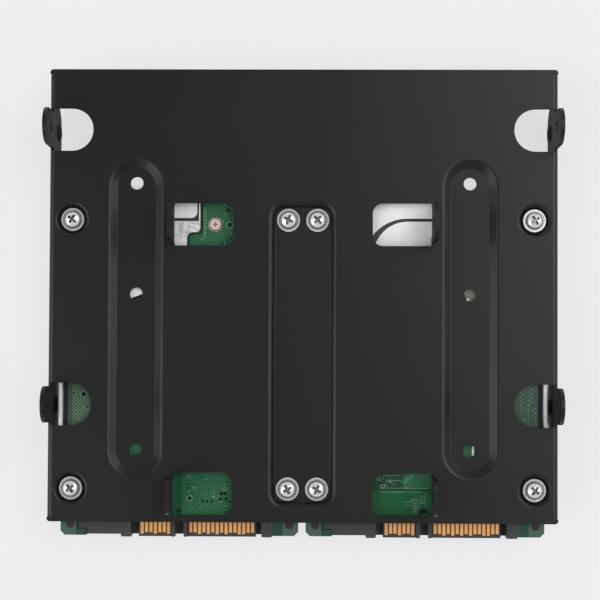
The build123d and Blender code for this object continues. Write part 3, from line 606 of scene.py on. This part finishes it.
# Drilled holes: x, y and radius on each drive
DARK_VIAS = {
    "left": (
        (48.91, 89.41, 0.75), (37.84, 11.11, 0.62), (41.54, 10.24, 0.42), (42.91, 10.22, 0.42),
        (44.2, 10.26, 0.42), (46.93, 12.5, 0.6), (48.0, 12.6, 0.55), (46.77, 10.9, 0.5),
        (48.28, 10.91, 0.5), (49.43, 10.12, 0.38), (34.7, 7.5, 0.65), (7.21, 40.71, 0.7),
        (37.5, 15.0, 0.3), (37.2, 14.1, 0.25), (48.3, 93.6, 0.5), (48.9, 93.1, 0.3),
        (48.1, 84.9, 0.3), (47.2, 84.3, 0.25), (49.2, 85.6, 0.3), (46.2, 84.0, 0.25),
        (4.4, 41.0, 0.35), (8.3, 37.2, 0.4), (7.6, 36.2, 0.3),
    ),
    "right": (
        (22.5, 15.5, 0.35), (24.4, 15.8, 0.35), (23.3, 16.6, 0.25), (25.2, 13.9, 0.25),
        (22.9, 14.9, 0.3), (33.8, 7.5, 0.7), (35.0, 7.7, 0.65), (34.4, 8.3, 0.4),
        (27.4, 16.0, 0.25), (26.4, 15.2, 0.25), (32.2, 13.9, 0.2),
    ),
}
VIA_RISE = 0.02 * MM


def dark_vias(side):
    """Drilled holes, drawn as dark discs of painted shade on the board."""

    def build(shape):
        for x, y, radius in DARK_VIAS[side]:
            draw_disc(shape, on_drive(side, x, y, board_face), radius * MM, VIA_RISE)

    return add_piece(f"{side}_board_vias", build, hole_shade)


# Copper rings: x, y and outer radius on each drive
LIGHT_RINGS = {
    "left": (
        (48.91, 89.41, 1.05), (37.84, 11.11, 0.85), (39.11, 13.99, 0.5), (37.8, 17.49, 0.5),
        (47.95, 13.73, 0.5), (7.21, 40.71, 1.0), (4.4, 41.0, 0.6), (8.0, 36.8, 0.9),
    ),
    "right": (
        (22.93, 14.86, 0.6), (21.6, 16.95, 0.5), (24.87, 16.65, 0.35), (24.1, 16.2, 0.35),
        (63.2, 33.9, 0.55),
    ),
}
RING_SHARE = 0.72
TRACE_HEIGHT = 0.03 * MM


def light_rings(side):
    """Rings of copper round the larger vias."""

    def build(shape):
        for x, y, radius in LIGHT_RINGS[side]:
            centre = on_drive(side, x, y, board_face)
            draw_ring(shape, centre, radius * RING_SHARE * MM, radius * MM, TRACE_HEIGHT)

    return add_piece(f"{side}_board_rings", build, mask_light)


# Small closed vias: areas with low x, low y, high x, high y and count, and columns with x, low y, high y
DETAIL_SEED = 7
LIGHT_DOT_AREAS = {
    "left": ((36.6, 6.8, 50.6, 18.6, 18), (42.0, 83.3, 50.4, 95.3, 9), (5.0, 33.0, 11.5, 44.0, 16)),
    "right": ((22.0, 14.6, 27.0, 18.4, 12), (30.5, 9.0, 35.5, 13.0, 10)),
}
LIGHT_DOT_RADII = (0.14, 0.24)
DOT_COLUMNS = {
    "left": (),
    "right": ((62.5, 35.5, 42.8), (65.0, 38.2, 43.7), (66.0, 31.5, 37.6)),
}
DOT_PITCH = 0.62
DOT_SWAY = 0.36
DOT_RADIUS = 0.2


def light_dots(side):
    """Small closed vias, scattered in the copper mesh and in zigzag columns."""
    draw = random.Random(DETAIL_SEED)

    def build(shape):
        for low_x, low_y, high_x, high_y, count in LIGHT_DOT_AREAS[side]:
            for _ in range(count):
                x = draw.uniform(low_x, high_x)
                y = draw.uniform(low_y, high_y)
                radius = draw.uniform(*LIGHT_DOT_RADII)
                draw_disc(shape, on_drive(side, x, y, board_face), radius * MM, TRACE_HEIGHT, DOT_CORNERS)
        for x, low_y, high_y in DOT_COLUMNS[side]:
            for step in range(round((high_y - low_y) / DOT_PITCH)):
                sway = DOT_SWAY if step % 2 else -DOT_SWAY
                centre = on_drive(side, x + sway, low_y + step * DOT_PITCH, board_face)
                draw_disc(shape, centre, DOT_RADIUS * MM, TRACE_HEIGHT, DOT_CORNERS)

    return add_piece(f"{side}_board_dots", build, mask_light)


# Fine tracks, each from one x and y to another
TRACE_WIDTH = 0.14 * MM
TRACE_RUNS = {
    "right": (
        ((23.0, 17.9), (27.6, 17.9)),
        ((25.0, 16.4), (28.2, 16.4)),
        ((28.6, 15.8), (31.1, 18.2)),
        ((29.4, 15.8), (31.9, 18.2)),
        ((22.0, 14.3), (35.6, 14.3)),
        ((22.6, 13.2), (34.2, 13.2)),
        ((29.4, 10.4), (31.0, 10.4)),
        ((29.4, 9.4), (31.0, 9.4)),
        ((31.2, 11.2), (34.6, 11.2)),
        ((31.2, 10.7), (34.6, 10.7)),
        ((31.2, 9.9), (34.0, 9.9)),
        ((31.2, 9.2), (33.6, 9.2)),
        ((31.2, 8.6), (32.8, 8.6)),
        ((31.9, 9.6), (31.9, 7.4)),
        ((32.4, 9.6), (32.4, 7.4)),
        ((35.0, 13.0), (35.0, 9.2)),
        ((64.3, 38.6), (64.3, 31.5)),
        ((61.2, 36.5), (62.6, 34.9)),
    ),
    "left": (
        ((41.6, 94.4), (41.6, 84.6)),
        ((42.0, 94.4), (42.0, 86.4)),
        ((42.0, 86.4), (40.4, 84.8)),
    ),
}


def draw_runs(shape, side, runs, z, width, height):
    """Straight strips on one drive, each between two places at height z."""
    for start, end in runs:
        draw_strip(shape, on_drive(side, *start, z), on_drive(side, *end, z), width, height)


def fine_traces(side):
    """Thin copper tracks under the green mask."""

    def build(shape):
        draw_runs(shape, side, TRACE_RUNS[side], board_face, TRACE_WIDTH, TRACE_HEIGHT)

    return add_piece(f"{side}_board_traces", build, mask_light)


BOARD_SCREWS = ((44.775, 89.5), (61.425, 60.0), (8.625, 46.0), (57.525, 27.5))
SCREW_PAD_INNER = 1.68 * MM
SCREW_PAD_OUTER = 2.05 * MM


def screw_pads(side):
    """The bare copper ring that each board screw bears on."""

    def build(shape):
        for x, y in BOARD_SCREWS:
            centre = on_drive(side, x, y, board_face)
            draw_ring(shape, centre, SCREW_PAD_INNER, SCREW_PAD_OUTER, TRACE_HEIGHT, HOLE_CORNERS)

    return add_piece(f"{side}_screw_pads", build, pad_copper)


# Two solder joints on the right board, under the holes of the right rib
SOLDER_RUNS = (((48.6, 23.7), (48.6, 26.3)), ((46.8, 68.2), (47.4, 68.2)))
SOLDER_WIDTH = 0.65 * MM
SOLDER_HEIGHT = 0.15 * MM


def solder_joints():
    """Bright solder that the rib's holes show."""

    def build(shape):
        draw_runs(shape, "right", SOLDER_RUNS, board_face, SOLDER_WIDTH, SOLDER_HEIGHT)

    return add_piece("right_board_solder", build, solder)


TAB_HOLES = ((3.7, 3.6), (66.35, 3.6))
TAB_HOLE_RADIUS = 1.2 * MM


def tab_holes(side):
    """The tooling holes in the board's two tabs, drawn as dark brown discs of painted shade."""

    def build(shape):
        for x, y in TAB_HOLES:
            draw_disc(shape, on_drive(side, x, y, board_face), TAB_HOLE_RADIUS, VIA_RISE, HOLE_CORNERS)

    return add_piece(f"{side}_tab_holes", build, tab_hole)


# The connector's thin lip under the board, beside the board's left tab
LIP_RUNS = (((5.6, 2.45), (8.75, 2.45)), ((5.85, 2.25), (5.85, 5.2)), ((8.55, 0.7), (8.55, 2.6)))
LIP_WIDTH = 0.5 * MM
LIP_HEIGHT = 0.4 * MM


def connector_lip(side):
    """Three short runs that close the narrow gap between the tab and the connector."""

    def build(shape):
        draw_runs(shape, side, LIP_RUNS, board_back - LIP_HEIGHT, LIP_WIDTH, LIP_HEIGHT)

    return add_piece(f"{side}_connector_lip", build, FINISHES["grey_plastic"])


for drive_side in SIDES:
    connector_lip(drive_side)
    tab_holes(drive_side)
    dark_vias(drive_side)
    light_rings(drive_side)
    light_dots(drive_side)
    fine_traces(drive_side)
    screw_pads(drive_side)
solder_joints()


# Floor and light

FLOOR_GREY = 0.855
FLOOR_DIFFUSE = (0.8, 0.8, 0.8)
FLOOR_ROUGHNESS = 0.9
FLOOR_SIZE = 30.0
FLOOR_GAP = 0.0002
FLOOR_OWN_SHARE = 0.8


def pale_floor():
    """A pale floor that keeps a soft share of the object's shadow."""
    bpy.ops.mesh.primitive_plane_add(size=FLOOR_SIZE, location=(0, 0, cad_box[0].z - FLOOR_GAP))
    floor = bpy.context.object
    floor.name = "floor"
    material, tree, shader = new_material("floor", FLOOR_DIFFUSE, FLOOR_ROUGHNESS)
    shader.inputs["Specular IOR Level"].default_value = 0.0
    glow = add_node(tree, "ShaderNodeEmission", {"Color": (*[FLOOR_GREY] * 3, 1), "Strength": 1.0})
    path = add_node(tree, "ShaderNodeLightPath").outputs
    seen = largest(tree, path["Is Camera Ray"], path["Is Glossy Ray"], path["Is Transmission Ray"])
    mix = add_node(tree, "ShaderNodeMixShader", {"Fac": product(tree, seen, FLOOR_OWN_SHARE)})
    tree.links.new(shader.outputs["BSDF"], mix.inputs[1])
    tree.links.new(glow.outputs["Emission"], mix.inputs[2])
    tree.links.new(mix.outputs["Shader"], tree.nodes["Material Output"].inputs["Surface"])
    floor.data.materials.append(material)


WORLD_HORIZON = 0.855
WORLD_ZENITH = 0.3
WORLD_FADE = (0.1, 0.7)


def studio_world():
    """A pale horizon that darkens towards the zenith."""
    world = bpy.data.worlds.new("studio")
    bpy.context.scene.world = world
    world.use_nodes = True
    tree = world.node_tree
    place = add_node(tree, "ShaderNodeTexCoord")
    parts = add_node(tree, "ShaderNodeSeparateXYZ", {"Vector": place.outputs["Generated"]})
    level = spread(tree, parts.outputs["Z"], *WORLD_FADE, WORLD_HORIZON, WORLD_ZENITH)
    tree.links.new(level, tree.nodes["Background"].inputs["Color"])


SOFTBOX_DISTANCE = 1.0
SOFTBOX_SIZE = 0.85


def softbox(name, azimuth, from_zenith, radiance):
    """A square softbox of the given brightness, placed by two angles in degrees, facing the part."""
    lamp = bpy.data.lights.new(name, "AREA")
    lamp.shape = "SQUARE"
    lamp.size = SOFTBOX_SIZE
    lamp.energy = radiance * math.pi * SOFTBOX_SIZE**2
    holder = bpy.data.objects.new(name, lamp)
    turn, tilt = math.radians(azimuth), math.radians(from_zenith)
    place = Vector((math.sin(tilt) * math.cos(turn), math.sin(tilt) * math.sin(turn), math.cos(tilt)))
    holder.location = place * SOFTBOX_DISTANCE
    holder.rotation_euler = (-place).to_track_quat("-Z", "Y").to_euler()
    bpy.context.scene.collection.objects.link(holder)


pale_floor()
studio_world()
softbox("right softbox", azimuth=20.0, from_zenith=38.0, radiance=2.75)
softbox("left softbox", azimuth=200.0, from_zenith=50.0, radiance=2.45)

# Camera: looks down on the open face, a little below its middle

CAMERA_PLACE = (5.03 * MM, -20.31 * MM, 413.0 * MM)
CAMERA_TURN = (0.02477, 0.01427, 0.00457)
CAMERA_LENS = 84.54
CAMERA_CLIP = 0.01
SENSOR = 36.0
FRAME_SHIFT_Y = 0.0667


def add_camera():
    """A long lens above the plate, with the photograph's small tilt."""
    data = bpy.data.cameras.new("camera")
    data.sensor_fit = "HORIZONTAL"
    data.sensor_width = SENSOR
    data.lens = CAMERA_LENS
    data.shift_y = FRAME_SHIFT_Y
    data.clip_start = CAMERA_CLIP
    camera = bpy.data.objects.new("camera", data)
    camera.location = CAMERA_PLACE
    camera.rotation_euler = CAMERA_TURN
    bpy.context.scene.collection.objects.link(camera)
    bpy.context.scene.camera = camera


add_camera()
bpy.context.scene.view_settings.view_transform = "Standard"
